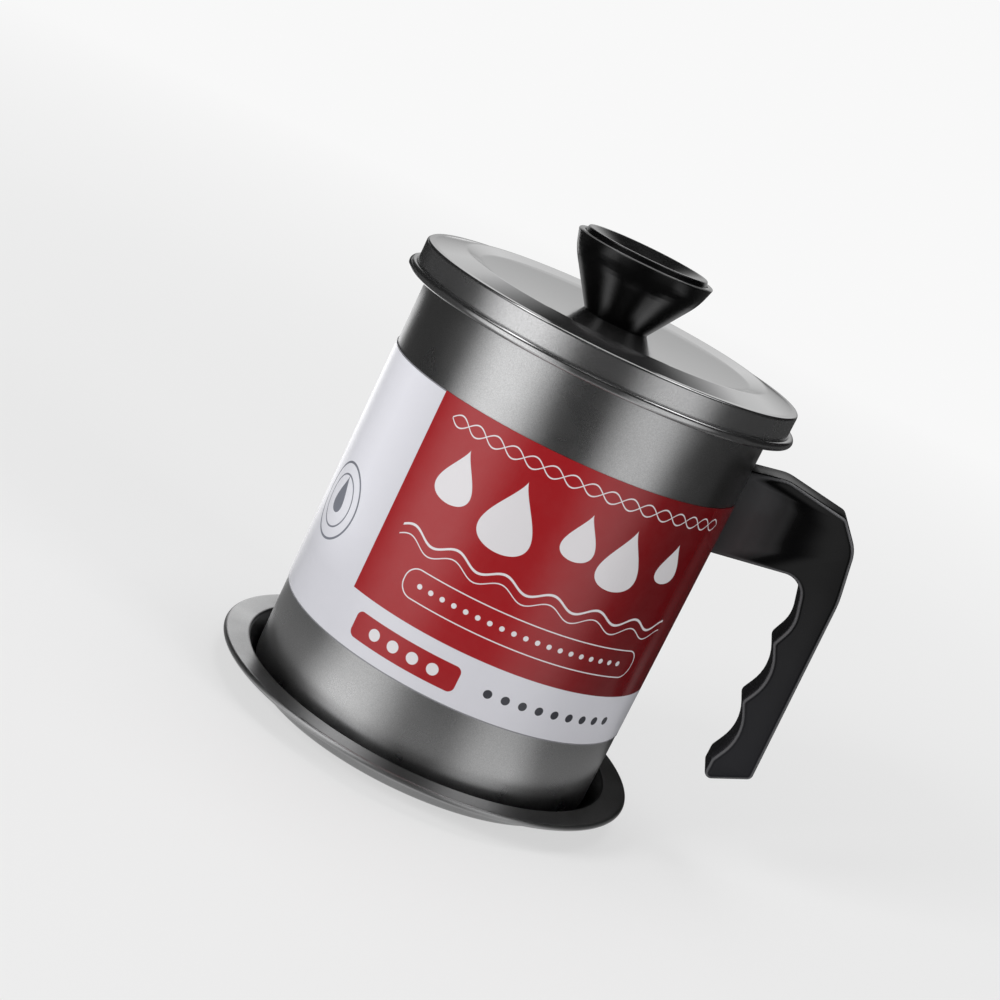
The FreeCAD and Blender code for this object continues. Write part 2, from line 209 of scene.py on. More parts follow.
def makeTent():  # cards that only show in reflections
    cards = bpy.data.materials.new("tentCards")
    tree, out = emptyTree(cards)
    place = tree.nodes.new("ShaderNodeTexCoord").outputs["Object"]
    split = addNode(tree, "ShaderNodeSeparateXYZ", Vector=place)
    high = split.outputs["Z"]
    turn = calc(tree, "ARCTAN2", split.outputs["Y"], split.outputs["X"])
    turn = calc(tree, "ADD", calc(tree, "DIVIDE", turn, 2 * math.pi), 0.5)
    level = studio["tentLevel"]
    for middle, half, shine in strips:
        aside = calc(tree, "ABSOLUTE", calc(tree, "SUBTRACT", turn, middle))
        level = calc(tree, "MAXIMUM", level, stretch(tree, aside, half * 0.3, half, shine, 0.0))
    foot = stretch(tree, high, 0, studio["footHigh"], 0.5, 0.0)
    even = calc(tree, "MULTIPLY", calc(tree, "SUBTRACT", studio["footLevel"], level), foot)
    level = calc(tree, "ADD", level, even)

    def span(value, low, high, soft):  # 1 between low and high, fading to 0 outside
        return hump(tree, value, (low - soft, low), (high, high + soft))

    def blend(value, other, share):
        return calc(tree, "ADD", value, calc(tree, "MULTIPLY", calc(tree, "SUBTRACT", other, value), share))

    front = span(turn, 0.02, 0.48, 0.02)
    ahead = stretch(tree, high, studio["frontHigh"], studio["frontHigh"] + 0.025, 1.0, studio["dark"])
    behind = stretch(tree, high, studio["backHigh"], studio["backHigh"] + 0.01, 1.0, studio["dark"])
    level = calc(tree, "MULTIPLY", level, blend(behind, ahead, front))
    lower = stretch(tree, high, *studio["backFoot"], 0.0, studio["backLevel"])
    rise = calc(tree, "MULTIPLY", lower, stretch(tree, high, *studio["backTop"], 1.0, 0.0))
    around = span(turn, *studio["backTurns"], 0.02)
    level = blend(level, rise, calc(tree, "MULTIPLY", around, stretch(tree, high, *studio["backJoin"])))
    for first, last, low, top in studio["blinds"]:
        patch = calc(tree, "MULTIPLY", span(turn, first, last, 0.01), span(high, low, top, 0.005))
        level = blend(level, studio["dark"], patch)
    for middle, half in studio["windows"]:
        aside = calc(tree, "ABSOLUTE", calc(tree, "SUBTRACT", turn, middle))
        across = stretch(tree, aside, half * 0.35, half, 1.0, 0.0)
        opened = calc(tree, "MULTIPLY", across, stretch(tree, high, *studio["windowLow"]))
        level = blend(level, studio["windowLevel"], opened)
    above = stretch(tree, high, studio["tentHigh"] - 0.0002, studio["tentHigh"] - 0.0001)
    offAxis = calc(tree, "ABSOLUTE", split.outputs["X"])
    side = stretch(tree, offAxis, *studio["roofSide"], studio["dark"], studio["windowLevel"])
    low, top, shine = studio["roofFront"]
    ahead = stretch(tree, split.outputs["Y"], low, top, shine, 0.0)
    low, top, shine = studio["roofBack"]
    behind = stretch(tree, split.outputs["Y"], low, top, 0.0, shine)
    level = blend(level, calc(tree, "MAXIMUM", side, calc(tree, "MAXIMUM", ahead, behind)), above)
    glow = addNode(tree, "ShaderNodeEmission", Strength=level)
    tree.links.new(glow.outputs[0], out.inputs["Surface"])
    count = 96
    ring = [(math.cos(2 * math.pi * k / count), math.sin(2 * math.pi * k / count)) for k in range(count)]
    wide, low = studio["tentRadius"], studio["tentLow"]
    rings = [(studio["tentInner"], low), (wide, low), (wide, studio["tentHigh"])]
    points = [(x * reach, y * reach, z) for reach, z in rings for x, y in ring]
    faces = []
    for row in (0, count):
        for k in range(count):
            on = (k + 1) % count
            faces.append((row + k, row + on, row + on + count, row + k + count))
    faces.append(tuple(range(2 * count, 3 * count)))
    mesh = bpy.data.meshes.new("lightTent")
    mesh.from_pydata(points, [], faces)
    mesh.materials.append(cards)
    tent = bpy.data.objects.new("lightTent", mesh)
    bpy.context.scene.collection.objects.link(tent)
    tent.visible_camera = False
    tent.visible_diffuse = False
    tent.visible_shadow = False
    tent.visible_transmission = False


def makeLamps():  # they light by diffuse only, the tent gives the reflections
    lamps = [  # name, place, size, power
        ("keyLamp", (-1.3, -1.32, 0.95), 0.7, 21.5),
        ("sideLamp", (1.65, -0.95, 0.95), 0.7, 9.5),
        ("topLamp", (0.1, 0.3, 1.9), 1.2, 12),
    ]
    for name, spot, size, power in lamps:
        lamp = bpy.data.lights.new(name, "AREA")
        lamp.size = size
        lamp.energy = power
        holder = bpy.data.objects.new(name, lamp)
        holder.location = spot
        holder.rotation_euler = (Vector((0, 0, 0.08)) - Vector(spot)).to_track_quat("-Z", "Y").to_euler()
        holder.visible_glossy = False
        bpy.context.scene.collection.objects.link(holder)


makeWorld()
makeFloor()
makeTent()
makeLamps()
bpy.context.scene.view_settings.view_transform = "Standard"
print("studio and camera placed")


# finishes

def newFinish(name, **values):  # a principled shader with object coordinates ready
    material = bpy.data.materials.new(name)
    tree, out = emptyTree(material)
    shader = addNode(tree, "ShaderNodeBsdfPrincipled", **values)
    tree.links.new(shader.outputs[0], out.inputs["Surface"])
    place = tree.nodes.new("ShaderNodeTexCoord").outputs["Object"]
    return material, tree, shader, place


def tint(tree, value, dark, light):  # a colour between two, by a 0 to 1 value
    mix = tree.nodes.new("ShaderNodeMix")
    mix.data_type = "RGBA"
    tree.links.new(value, mix.inputs["Factor"])
    for socket, colour in zip([s for s in mix.inputs if s.type == "RGBA"], (dark, light)):
        if isinstance(colour, bpy.types.NodeSocket):
            tree.links.new(colour, socket)
        else:
            socket.default_value = (*colour, 1)
    return [s for s in mix.outputs if s.type == "RGBA"][0]


def grain(tree, place, size, detail=2.0, rough=0.5):  # noise with features about size mm across
    scale = 1 / (size * mm)
    node = addNode(tree, "ShaderNodeTexNoise", Vector=place, Scale=scale, Detail=detail, Roughness=rough)
    return node.outputs[0]


def addBump(tree, shader, height, depth, socket="Normal"):  # bump of a depth in mm
    bump = addNode(tree, "ShaderNodeBump", Height=height, Distance=depth * mm)
    bump.inputs["Strength"].default_value = 1
    tree.links.new(bump.outputs[0], shader.inputs[socket])


def patchyShine(tree, shader, noise, low, high):  # roughness that wanders between low and high
    tree.links.new(stretch(tree, noise, 0.3, 0.7, low, high), shader.inputs["Roughness"])


# where one tone of a finish, or its painted light or shade, passes into the next, in metres, or by the face's
# direction where it says so
marks = {
    "potFoot": (0.030, 0.013),
    "trayWall": (0.649, 0.05815),    # the painted-shade inner wall: its radius is the first times the height, plus the second
    "lidSkirt": (0.0646, 0.0650),
    "lidBead": (0.06515, 0.0654),
    "lidStep": ((0.0468, 0.0476), (0.0520, 0.0530)),
    "gripFade": (0.105, 0.045),
    "gripEdge": ((0.40, 0.60), (0.80, 0.94)),    # painted highlight on the grip's edges, by direction
    "knobRim": ((0.05, 0.30), (0.75, 0.95)),     # painted highlight round the knob's rim, by direction
}


def makeFinishes():
    made = {}

    # metallic coating with fine flakes, on pot and tray
    for name, dark, light, low, high in [
        ("potCoating", (0.34, 0.34, 0.342), (0.46, 0.46, 0.463), 0.26, 0.33),
        ("trayCoating", (0.27, 0.27, 0.272), (0.34, 0.34, 0.342), 0.28, 0.36),
    ]:
        material, tree, shader, place = newFinish(name, Metallic=1.0)
        flakes = stretch(tree, grain(tree, place, 0.3, 3, 0.65), 0.36, 0.66)
        colour = tint(tree, flakes, dark, light)
        height = addNode(tree, "ShaderNodeSeparateXYZ", Vector=place).outputs["Z"]
        if name == "potCoating":  # painted light: lighter towards the foot
            pale = tint(tree, flakes, (0.49, 0.49, 0.492), (0.62, 0.62, 0.622))
            colour = tint(tree, stretch(tree, height, *marks["potFoot"]), colour, pale)
        else:  # painted shade: the tray's inner wall near black, in the gap round the pot
            slope, foot = marks["trayWall"]
            wall = calc(tree, "ADD", calc(tree, "MULTIPLY", height, slope), foot)
            wall = calc(tree, "SUBTRACT", wall, axisRadius(tree, place))
            offFloor = stretch(tree, height, 0.0002, 0.0004)
            inside = calc(tree, "MULTIPLY", stretch(tree, wall, 0, 0.0001), offFloor)
            colour = tint(tree, inside, colour, (0.04, 0.04, 0.042))
        tree.links.new(colour, shader.inputs["Base Color"])
        patchyShine(tree, shader, grain(tree, place, 14), low, high)
        addBump(tree, shader, grain(tree, place, 0.4, 2), 0.002)
        made[name] = material

    # lid: smoother on top, with stronger flakes on the skirt, and painted light on its step ring
    material, tree, shader, place = newFinish("lidCoating", Metallic=0.95)
    reach = axisRadius(tree, place)
    skirt = stretch(tree, reach, *marks["lidSkirt"])
    bead = stretch(tree, reach, *marks["lidBead"])
    flakes = stretch(tree, grain(tree, place, 0.3, 3, 0.65), 0.34, 0.68)
    side = tint(tree, flakes, (0.35, 0.35, 0.352), (0.48, 0.48, 0.483))
    # painted light: the step ring lighter than the rest of the top
    step = hump(tree, reach, *marks["lidStep"])
    top = tint(tree, flakes, (0.40, 0.40, 0.402), (0.43, 0.43, 0.432))
    top = tint(tree, step, top, (0.54, 0.54, 0.542))
    tree.links.new(tint(tree, skirt, top, side), shader.inputs["Base Color"])
    cloud = stretch(tree, grain(tree, place, 16), 0.3, 0.7, -0.02, 0.02)
    rough = calc(tree, "SUBTRACT", stretch(tree, skirt, 0, 1, 0.09, 0.26), calc(tree, "MULTIPLY", bead, 0.10))
    tree.links.new(calc(tree, "ADD", cloud, rough), shader.inputs["Roughness"])
    addBump(tree, shader, calc(tree, "MULTIPLY", grain(tree, place, 0.4, 2), skirt), 0.0015)
    made["lidCoating"] = material

    # moulded black resin: faint mottling, fine skin texture
    for name, level, low, high, shine in [
        ("knobResin", 0.0015, 0.22, 0.25, 0.55),
        ("capResin", 0.003, 0.22, 0.26, 0.5),
        ("gripResin", 0.0020, 0.21, 0.26, 0.18),
    ]:
        material, tree, shader, place = newFinish(name)
        shader.inputs["Specular IOR Level"].default_value = shine
        mottle = grain(tree, place, 3, 4, 0.6)
        colour = tint(tree, mottle, (level * 0.8,) * 3, (level * 1.2, level * 1.2, level * 1.35))
        facing = addNode(tree, "ShaderNodeSeparateXYZ", Vector=place.node.outputs["Normal"])
        if name == "gripResin":  # painted light: paler lower down, and painted highlights along its edges
            height = addNode(tree, "ShaderNodeSeparateXYZ", Vector=place).outputs["Z"]
            colour = tint(tree, stretch(tree, height, *marks["gripFade"]), colour, (0.013, 0.013, 0.0155))
            # painted highlights along the edges
            across = calc(tree, "ABSOLUTE", facing.outputs["Y"])
            edge = hump(tree, across, *marks["gripEdge"])
            colour = tint(tree, edge, colour, (0.13, 0.13, 0.135))
        elif name == "knobResin":  # a painted highlight line round the rim
            upward = facing.outputs["Z"]
            edge = hump(tree, upward, *marks["knobRim"])
            colour = tint(tree, edge, colour, (0.12, 0.12, 0.12))
        tree.links.new(colour, shader.inputs["Base Color"])
        patchyShine(tree, shader, grain(tree, place, 9, 3), low, high)
        addBump(tree, shader, grain(tree, place, 0.5, 2), 0.0015)
        made[name] = material

    # turned and drawn metals: lines round the axis
    for name, dark, light, low, high in [
        ("strainerSteel", (0.42, 0.42, 0.43), (0.66, 0.66, 0.67), 0.20, 0.34),
        ("fastenerPlate", (0.50, 0.50, 0.50), (0.70, 0.70, 0.69), 0.14, 0.28),
        ("insertBrass", (0.58, 0.40, 0.16), (0.80, 0.60, 0.30), 0.18, 0.34),
    ]:
        material, tree, shader, place = newFinish(name, Metallic=1.0)
        split = addNode(tree, "ShaderNodeSeparateXYZ", Vector=place)
        lines = addNode(tree, "ShaderNodeCombineXYZ", X=axisRadius(tree, place), Y=split.outputs["Z"])
        turned = grain(tree, lines.outputs[0], 0.35, 4, 0.7)
        tree.links.new(tint(tree, stretch(tree, turned, 0.3, 0.7), dark, light), shader.inputs["Base Color"])
        patchyShine(tree, shader, grain(tree, place, 6, 3), low, high)
        addBump(tree, shader, turned, 0.002)
        made[name] = material

    # drawn wire and the rolled bracket: lighter, smoother patches on dull steel
    for name, dark, light, size in [
        ("wireSteel", (0.38, 0.38, 0.39), (0.62, 0.62, 0.62), 1.2),
        ("bracketSteel", (0.30, 0.30, 0.31), (0.56, 0.56, 0.56), 3.0),
    ]:
        material, tree, shader, place = newFinish(name, Metallic=1.0)
        patches = stretch(tree, grain(tree, place, size, 4, 0.6), 0.3, 0.7)
        tree.links.new(tint(tree, patches, dark, light), shader.inputs["Base Color"])
        tree.links.new(stretch(tree, patches, 0, 1, 0.42, 0.24), shader.inputs["Roughness"])
        addBump(tree, shader, grain(tree, place, 0.3, 3), 0.003)
        made[name] = material
    return made


finishes = makeFinishes()
print("finishes made:", len(finishes))


# turned pieces: a profile swept round the axis by a node tree

def sweepAlong(tree, path, section):
    return addNode(tree, "GeometryNodeCurveToMesh", Curve=path.outputs[0], Profile_Curve=section.outputs[0])


def makeLatheTree():
    tree = bpy.data.node_groups.new("turnedPiece", "GeometryNodeTree")
    tree.is_modifier = True
    face = tree.interface
    face.new_socket("Profile", in_out="INPUT", socket_type="NodeSocketGeometry")
    face.new_socket("Segments", in_out="INPUT", socket_type="NodeSocketInt")
    face.new_socket("Path Radius", in_out="INPUT", socket_type="NodeSocketFloat")
    face.new_socket("Finish", in_out="INPUT", socket_type="NodeSocketMaterial")
    face.new_socket("Piece", in_out="OUTPUT", socket_type="NodeSocketGeometry")
    given = tree.nodes.new("NodeGroupInput").outputs
    result = tree.nodes.new("NodeGroupOutput").inputs
    place = tree.nodes.new("GeometryNodeInputPosition").outputs[0]
    split = addNode(tree, "ShaderNodeSeparateXYZ", Vector=place)
    shifted = calc(tree, "SUBTRACT", split.outputs["X"], given["Path Radius"])
    flipped = calc(tree, "MULTIPLY", split.outputs["Z"], -1.0)
    moved = addNode(tree, "ShaderNodeCombineXYZ", X=shifted, Y=flipped)
    laid = addNode(tree, "GeometryNodeSetPosition", Geometry=given["Profile"], Position=moved.outputs[0])
    section = addNode(tree, "GeometryNodeMeshToCurve", Mesh=laid.outputs[0])
    wide = given["Path Radius"]
    circle = addNode(tree, "GeometryNodeCurvePrimitiveCircle", Resolution=given["Segments"], Radius=wide)
    upright = addNode(tree, "GeometryNodeSetCurveNormal", Curve=circle.outputs[0])
    upright.mode = "Z_UP"
    swept = sweepAlong(tree, upright, section)
    closed = addNode(tree, "GeometryNodeMergeByDistance", Geometry=swept.outputs[0], Distance=0.000002)
    smooth = addNode(tree, "GeometryNodeSetShadeSmooth", Geometry=closed.outputs[0])
    real = addNode(tree, "GeometryNodeRealizeInstances", Geometry=smooth.outputs[0])
    dressed = addNode(tree, "GeometryNodeSetMaterial", Geometry=real.outputs[0], Material=given["Finish"])
    tree.links.new(dressed.outputs[0], result[0])
    return tree


latheTree = makeLatheTree()


def bake(piece):  # the evaluated shape becomes the piece's own plain mesh
    shape = piece.evaluated_get(bpy.context.evaluated_depsgraph_get())
    mesh = bpy.data.meshes.new_from_object(shape)
    piece.modifiers.clear()
    piece.data = mesh
    mesh.name = piece.name
    return piece


def faceOutwards(mesh):
    work = bmesh.new()
    work.from_mesh(mesh)
    bmesh.ops.remove_doubles(work, verts=work.verts, dist=0.000001)
    bmesh.ops.recalc_face_normals(work, faces=work.faces)
    work.to_mesh(mesh)
    work.free()


def setInputs(modifier, **values):
    for item in modifier.node_group.interface.items_tree:
        key = item.name.replace(" ", "")
        if item.in_out == "INPUT" and key in values:
            modifier[item.identifier] = values[key]


def turnedPiece(name, line, finish, segments=192, closed=False):  # line is (radius, height) in mm
    mesh = bpy.data.meshes.new(name)
    edges = [(k, k + 1) for k in range(len(line) - 1)] + ([(len(line) - 1, 0)] if closed else [])
    mesh.from_pydata([(r * mm, 0, z * mm) for r, z in line], edges, [])
    piece = bpy.data.objects.new(name, mesh)
    bpy.context.scene.collection.objects.link(piece)
    lathe = piece.modifiers.new("lathe", "NODES")
    lathe.node_group = latheTree
    setInputs(lathe, Segments=segments, PathRadius=10 * mm, Finish=finishes[finish])
    bake(piece)
    faceOutwards(piece.data)
    return piece


def softCorners(corners, turn=9):  # corners are (x, y, radius), turn is degrees a step
    line = [Vector(corners[0][:2])]
    for i in range(1, len(corners) - 1):
        at = Vector(corners[i][:2])
        back = (Vector(corners[i - 1][:2]) - at).normalized()
        on = (Vector(corners[i + 1][:2]) - at).normalized()
        radius = corners[i][2]
        if radius <= 0:
            line.append(at)
            continue
        half = back.angle(on) / 2
        start = at + back * (radius / math.tan(half))
        centre = at + (back + on).normalized() * (radius / math.sin(half))
        sweep = math.pi - 2 * half
        sign = 1 if on.cross(back) > 0 else -1
        steps = max(2, math.ceil(math.degrees(sweep) / turn))
        for k in range(steps + 1):
            line.append(centre + Matrix.Rotation(sign * sweep * k / steps, 2) @ (start - centre))
    line.append(Vector(corners[-1][:2]))
    return line


def heldEdges(line, gap=0.25):  # extra points beside the bends keep straight runs straight
    held = [line[0]]
    for a, b in zip(line, line[1:]):
        run = (b - a).length
        if run > gap * 5:
            held += [a + (b - a) * (gap / run), b - (b - a) * (gap / run)]
        held.append(b)
    return held


def sheetLine(corners, side, sheet, bead=0):  # both faces of bent sheet, with a closed roll at its end
    flat = [Vector(c[:2]) for c in corners]
    other = []
    for i, at in enumerate(flat):
        into = (at - flat[i - 1]).normalized() if i else (flat[1] - at).normalized()
        out = (flat[i + 1] - at).normalized() if i + 1 < len(flat) else into
        normalIn = Vector((-into.y, into.x)) * side
        push = (normalIn + Vector((-out.y, out.x)) * side).normalized()
        moved = at + push * (sheet / push.dot(normalIn))
        inside = into.cross(out) * side > 0
        radius = corners[i][2]
        if radius > 0:
            radius = max(radius + (-sheet if inside else sheet), 0)
        other.append((moved.x, moved.y, radius))
    heading = (flat[-1] - flat[-2]).normalized()
    outward = Vector((heading.y, -heading.x)) * side
    roll = []
    if bead:
        centre = flat[-1] - outward * sheet + outward * bead
        chord = math.sqrt(2 * bead * sheet - sheet * sheet)
        end = flat[-1] - heading * chord
        corners = corners[:-1] + [(end.x, end.y, 0)]
        first = math.atan2(chord, bead - sheet)
        for k in range(1, 28):
            angle = first + (2 * math.pi - first) * k / 28
            roll.append(centre - outward * (bead * math.cos(angle)) - heading * (bead * math.sin(angle)))
    return heldEdges(softCorners(corners)) + roll + heldEdges(softCorners(other))[::-1]


# tray

tray = {
    "sheet": 0.6,
    "height": 10.0,
    "floorRadius": 58.5,
    "wellRadius": 64.6,
    "rimRadius": 71.9,
    "bead": 1.1,
    "edge": 0.9,
}


def makeTray():
    t = tray
    under = t["height"] - t["sheet"]
    corners = [
        (0, 0, 0),
        (t["floorRadius"], 0, 2.5),
        (t["wellRadius"], under, t["edge"]),
        (t["rimRadius"], under, 0),
    ]
    line = sheetLine(corners, 1, t["sheet"], t["bead"])
    piece = turnedPiece("trayDish", line, "trayCoating", 224)
    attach(piece, "tray")
    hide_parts("drip_tray")


makeTray()
print("tray made")


# pot

pot = {
    "sheet": 0.6,
    "radius": 60.0,
    "base": 0.65,
    "rim": 149.85,
    "heel": 5.0,
    "footRadius": 52.0,
    "footStep": 1.4,
    "bead": 1.5,
}


def makePot():
    p = pot
    foot = p["base"] + p["footStep"]
    corners = [
        (0, foot, 0),
        (p["footRadius"] - p["footStep"], foot, 0.5),
        (p["footRadius"], p["base"], 0.5),
        (p["radius"], p["base"], p["heel"]),
        (p["radius"], p["rim"] - p["bead"], 0),
    ]
    line = sheetLine(corners, 1, p["sheet"], p["bead"])
    piece = turnedPiece("potShell", line, "potCoating", 224)
    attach(piece, "pot")
    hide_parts("pot_body")


makePot()
print("pot made")


# printed band

band = {
    "low": 31.9,
    "height": 85.2,
    "radius": 60.05,
    "sheet": 0.3,
    "gap": 20.0,
}


def makeBand():
    b = band
    half = math.asin(b["gap"] / 2 / b["radius"])
    count = 260
    inner, outer = b["radius"], b["radius"] + b["sheet"]
    low, high = b["low"], b["low"] + b["height"]
    points, places = [], []
    for k in range(count + 1):
        angle = half + (2 * math.pi - 2 * half) * k / count
        for r, z in ((inner, low), (outer, low), (outer, high), (inner, high)):
            points.append((r * math.cos(angle) * mm, r * math.sin(angle) * mm, z * mm))
            places.append(((angle - 1.5 * math.pi) * outer * mm, (z - low) * mm))
    faces = [(3, 2, 1, 0), tuple(4 * count + k for k in range(4))]
    for k in range(count):
        for a, c in ((0, 1), (1, 2), (2, 3), (3, 0)):
            faces.append((4 * k + a, 4 * k + c, 4 * k + 4 + c, 4 * k + 4 + a))
    mesh = bpy.data.meshes.new("printBand")
    mesh.from_pydata(points, [], faces)
    sheetMap = mesh.uv_layers.new(name="printMap")
    for loop in mesh.loops:
        sheetMap.data[loop.index].uv = places[loop.vertex_index]
    mesh.materials.append(makePrint())
    piece = bpy.data.objects.new("printBand", mesh)
    bpy.context.scene.collection.objects.link(piece)
    faceOutwards(mesh)
    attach(piece, "pot")
    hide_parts("label_band")


# the print, in mm: x from the front, y from the band's lower edge
artwork = {
    "panel": (-38.9, 17.6, 95.0, 90.0),
    "red": (0.36, 0.008, 0.012),
    # painted shade: the red darkens towards the handle
    "deepRed": (0.15, 0.003, 0.005),
    "paper": (0.72, 0.72, 0.77),
    "brightPaper": (0.90, 0.90, 0.96),  # painted light: the sheet's upper part, clear of the panel, lighter
    "white": (0.78, 0.76, 0.78),
    "ink": (0.035, 0.035, 0.045),
    "mark": (0.22, 0.23, 0.27),
    "cut": (0.25, 0.25, 0.27),          # painted shade line along the sheet's lower and upper edges
    "sheet": (-290, 0.35, 100, 84.85),
    "soft": 0.12,
    "swell": 0.325,                     # the widest value of a drop's own curve
    "drops": [                          # as (middle, low, height, half width)
        (-22, 56, 18, 6.4),
        (-2, 50, 24, 8.6),
        (20, 57, 16, 5.6),
        (36, 52, 21, 7.6),
        (55, 58, 14, 5.0),
    ],
}


def makePrint():
    material, tree, shader, place = newFinish("printFilm")
    where = tree.nodes.new("ShaderNodeUVMap")
    where.uv_map = "printMap"
    split = addNode(tree, "ShaderNodeSeparateXYZ", Vector=where.outputs[0])
    x = calc(tree, "MULTIPLY", split.outputs["X"], 1000.0)
    y = calc(tree, "MULTIPLY", split.outputs["Y"], 1000.0)
    soft = artwork["soft"]

    def inside(depth):  # 1 where depth in mm is positive, 0 at no depth
        return stretch(tree, depth, 0, soft)

    def within(value, half):  # 1 where value is nearer to 0 than half
        return inside(calc(tree, "SUBTRACT", half, calc(tree, "ABSOLUTE", value)))

    def both(a, b):
        return calc(tree, "MULTIPLY", a, b)

    def either(a, b):
        return calc(tree, "MAXIMUM", a, b)

    def offCentre(value, centre, half):
        return calc(tree, "SUBTRACT", half, calc(tree, "ABSOLUTE", calc(tree, "SUBTRACT", value, centre)))

    def block(x0, y0, x1, y1):
        across = offCentre(x, (x0 + x1) / 2, (x1 - x0) / 2)
        up = offCentre(y, (y0 + y1) / 2, (y1 - y0) / 2)
        return inside(calc(tree, "MINIMUM", across, up))

    def roundedDepth(x0, y0, x1, y1, radius):
        across = calc(tree, "SUBTRACT", radius, offCentre(x, (x0 + x1) / 2, (x1 - x0) / 2))
        up = calc(tree, "SUBTRACT", radius, offCentre(y, (y0 + y1) / 2, (y1 - y0) / 2))
        across = calc(tree, "MAXIMUM", across, 0.0)
        up = calc(tree, "MAXIMUM", up, 0.0)
        away = calc(tree, "SQRT", calc(tree, "ADD", both(across, across), both(up, up)))
        return calc(tree, "SUBTRACT", radius, away)

    def outline(depth, width):
        return within(calc(tree, "SUBTRACT", depth, width / 2), width / 2)

    def drop(cx, low, height, halfWidth):  # pointed at the top
        down = calc(tree, "DIVIDE", calc(tree, "SUBTRACT", low + height, y), height)
        down = calc(tree, "MINIMUM", calc(tree, "MAXIMUM", down, 0.0), 1.0)
        swell = calc(tree, "SQRT", both(both(both(down, down), down), calc(tree, "SUBTRACT", 1.0, down)))
        return within(calc(tree, "SUBTRACT", x, cx), calc(tree, "MULTIPLY", swell, halfWidth / artwork["swell"]))

    def wave(height, swing, length, width, shift=0.0):
        turn = calc(tree, "ADD", calc(tree, "MULTIPLY", x, 2 * math.pi / length), shift)
        line = calc(tree, "MULTIPLY", calc(tree, "SINE", turn), swing)
        return within(calc(tree, "SUBTRACT", calc(tree, "SUBTRACT", y, height), line), width / 2)

    def dots(pitch, height, radius):
        part = calc(tree, "FRACT", calc(tree, "ADD", calc(tree, "DIVIDE", x, pitch), 100.0))
        step = calc(tree, "MULTIPLY", calc(tree, "SUBTRACT", part, 0.5), pitch)
        up = calc(tree, "SUBTRACT", y, height)
        away = calc(tree, "SQRT", calc(tree, "ADD", both(step, step), both(up, up)))
        return inside(calc(tree, "SUBTRACT", radius, away))

    panel = block(*artwork["panel"])
    white = drop(*artwork["drops"][0])
    for shape in artwork["drops"][1:]:
        white = either(white, drop(*shape))
    braid = either(wave(79.5, 1.9, 13, 0.55), wave(79.5, 1.9, 13, 0.55, math.pi))
    white = either(white, both(block(-32.5, 70, 71.5, 84), braid))
    middle = block(-32, 20, 68, 50)
    white = either(white, both(middle, either(wave(43.5, 1.6, 16, 0.9), wave(40.3, 1.6, 16, 0.5))))
    white = either(white, outline(roundedDepth(-24, 24.5, 62, 34.5, 4.6), 0.5))
    white = either(white, both(block(-20, 22, 56, 38), dots(4.0, 29.5, 0.9)))
    pill = inside(roundedDepth(-33, 4.4, 5, 13.2, 2.2))
    beads = both(block(-28, 2, 0, 16), dots(7.0, 8.8, 2.0))
    ink = both(block(12, 2, 66, 16), dots(6.0, 8.8, 1.5))
    ripple = outline(roundedDepth(-78, 22, -52, 48, 13.0), 0.9)
    ripple = either(ripple, outline(roundedDepth(-74, 26, -56, 44, 9.0), 0.7))
    ripple = either(ripple, drop(-65, 31, 13, 3.6))
    # painted shade: the red darkens towards the handle
    shade = stretch(tree, x, 12, 52)
    red = tint(tree, shade, artwork["red"], artwork["deepRed"])
    # painted shade line along the sheet's lower and upper edges
    edge = block(*artwork["sheet"])
    # painted light: the paper lighter left of the panel, above its lower part
    bright = both(stretch(tree, x, -38, -56), stretch(tree, y, 16, 34))
    paper = tint(tree, bright, artwork["paper"], artwork["brightPaper"])
    colour = tint(tree, edge, artwork["cut"], paper)
    colour = tint(tree, panel, colour, red)
    colour = tint(tree, both(white, panel), colour, artwork["white"])
    colour = tint(tree, pill, colour, artwork["red"])
    colour = tint(tree, both(beads, pill), colour, artwork["white"])
    colour = tint(tree, ink, colour, artwork["ink"])
    colour = tint(tree, ripple, colour, artwork["mark"])
    mottle = stretch(tree, grain(tree, place, 5, 4, 0.6), 0.35, 0.75, 0.0, 0.012)
    colour = tint(tree, mottle, colour, (0.5, 0.48, 0.5))
    tree.links.new(colour, shader.inputs["Base Color"])
    patchyShine(tree, shader, grain(tree, place, 11, 3), 0.17, 0.23)
    addBump(tree, shader, grain(tree, place, 2.5, 2), 0.002)
    return material


makeBand()
print("printed band made")


# handle grip: side outline, as (out from the pot, down from the grip's top, corner radius)

grip = {
    "top": 131.6,
    "thickness": 17.0,
    "round": 1.8,
    "roots": (2.4, 32.0),
    "outside": [
        (11.5, 0.0, 12.0),
        (33.2, 3.0, 3.0),
        (40.4, 11.2, 12.0),
        (43.6, 28.6, 30.0),
        (45.4, 94.0, 2.2),
        (30.6, 101.2, 2.2),
    ],
    "cusp": (30.6, 93.2, 2.4),
    "pitch": 21.8,
    "grooves": 2,
    "groove": (5.2, 16.0),
    "neck": (33.8, 41.6, 12.0),
    "corner": (29.8, 26.6, 6.5),
    "topRun": 12.1,       # the top drops by the first of the roots over this length
    "inset": 8,           # the outline runs on this far into the pot
    "cutAt": 59.45,       # and is cut off here
}


